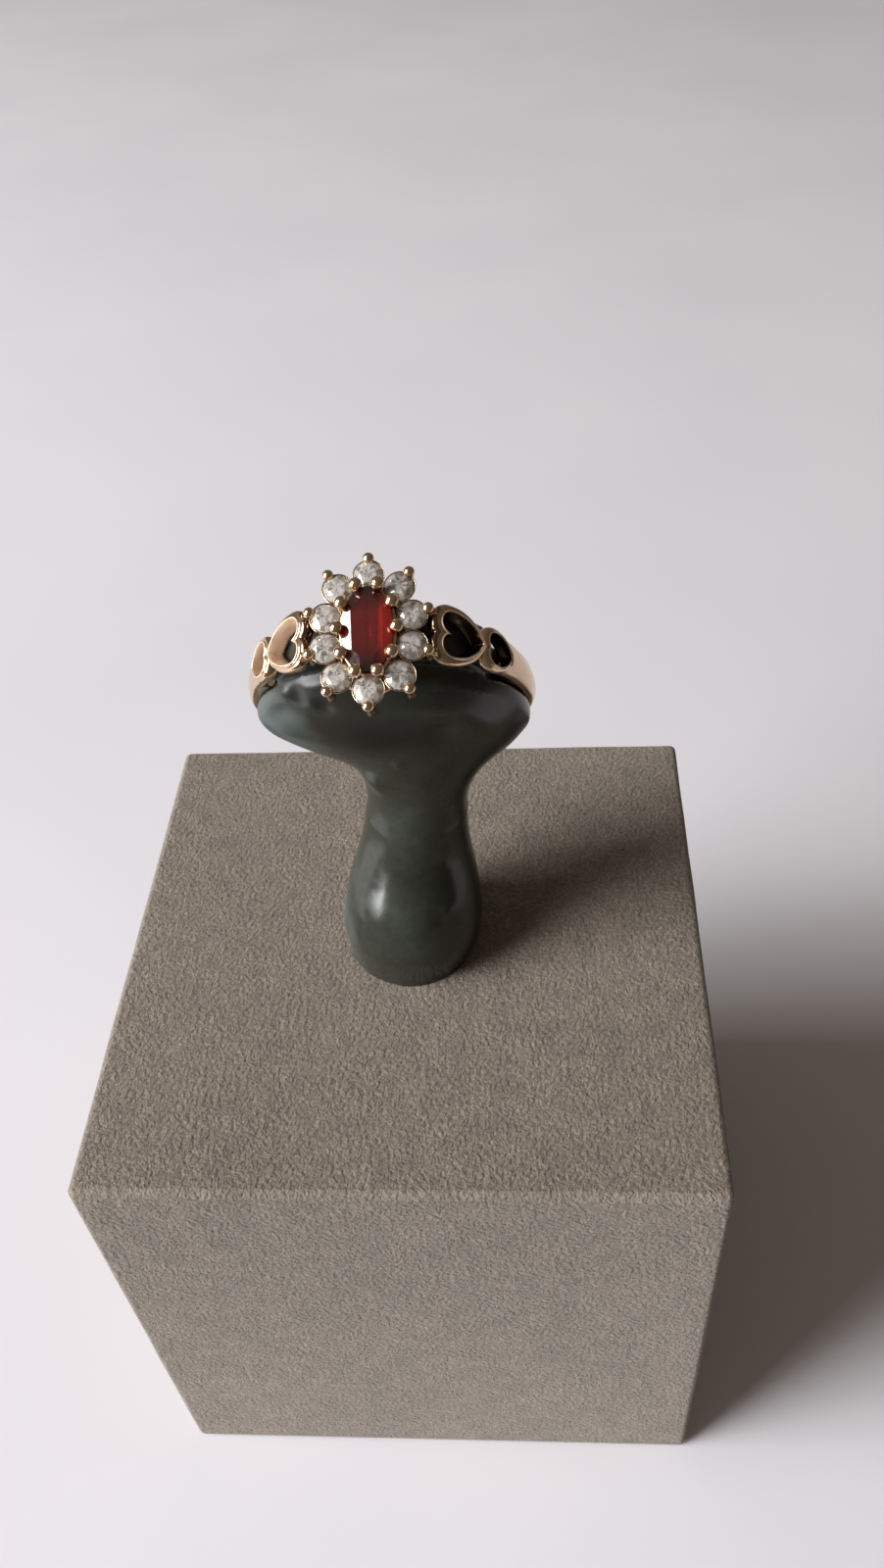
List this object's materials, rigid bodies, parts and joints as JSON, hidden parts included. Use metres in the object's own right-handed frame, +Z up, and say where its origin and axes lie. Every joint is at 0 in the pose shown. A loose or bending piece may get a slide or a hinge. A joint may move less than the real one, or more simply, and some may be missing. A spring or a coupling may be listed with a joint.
{
  "type": "ruby cluster ring on display stand",
  "caption": "Gold cluster ring with an oval red stone, pale round stones and pierced heart shoulders, held up on a glossy post that stands on a suede-covered block.",
  "frame": {"origin": "middle of the bottom of the block", "axes": "+Z up, +X to the right seen from the front, +Y away from the viewer; the top of the ring leans towards -Y"},
  "size_m": [0.045, 0.0442, 0.0817],
  "materials": {
    "block_suede": "taupe suede with a fine mottled nap",
    "post_putty": "dark green-black putty with a wet gloss",
    "yellow_gold": "polished gold, a little worn",
    "ruby_red": "deep red, step-cut facets",
    "clear_stone": "clear brilliant-cut facets"
  },
  "bodies": {
    "root": {"display_block": "block_suede", "display_post": "post_putty", "gold_ring": "yellow_gold", "ruby": "ruby_red", "stone_01": "clear_stone", "stone_02": "clear_stone", "stone_03": "clear_stone", "stone_04": "clear_stone", "stone_05": "clear_stone", "stone_06": "clear_stone", "stone_07": "clear_stone", "stone_08": "clear_stone", "stone_09": "clear_stone", "stone_10": "clear_stone"}
  },
  "joints": []
}
